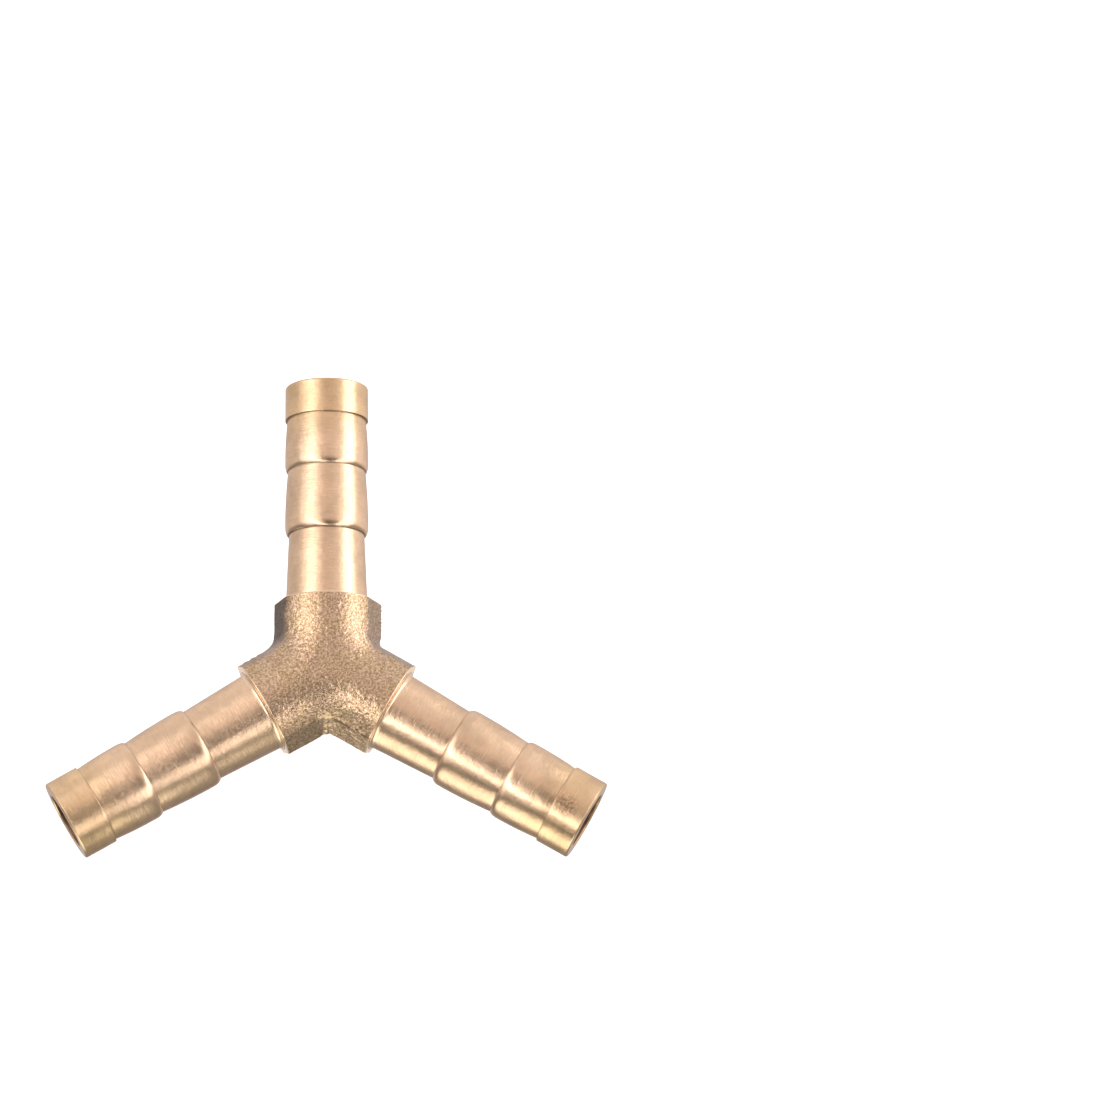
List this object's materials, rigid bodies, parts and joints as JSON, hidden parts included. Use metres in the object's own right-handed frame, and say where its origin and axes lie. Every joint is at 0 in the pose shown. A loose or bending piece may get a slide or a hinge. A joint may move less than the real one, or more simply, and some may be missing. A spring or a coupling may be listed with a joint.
{
  "type": "barbed hose connector",
  "caption": "Brass Y connector for soft hose: a forged hub with turned, barbed tube arms set at equal angles, bored through.",
  "frame": {"origin": "the point where the axes of all the bores meet, in the middle of the hub", "axes": "+Y along arm a towards its tip, +Z square to the plane of the arms, +X to the right of arm a"},
  "size_m": [0.0532, 0.0462, 0.01],
  "materials": {
    "forged_brass": "shot-blasted forging skin",
    "turned_brass": "bright, with fine turning marks"
  },
  "bodies": {
    "root": {"hub": "forged_brass", "barb_stem_a": "turned_brass", "barb_stem_b": "turned_brass", "barb_stem_c": "turned_brass"}
  },
  "joints": []
}
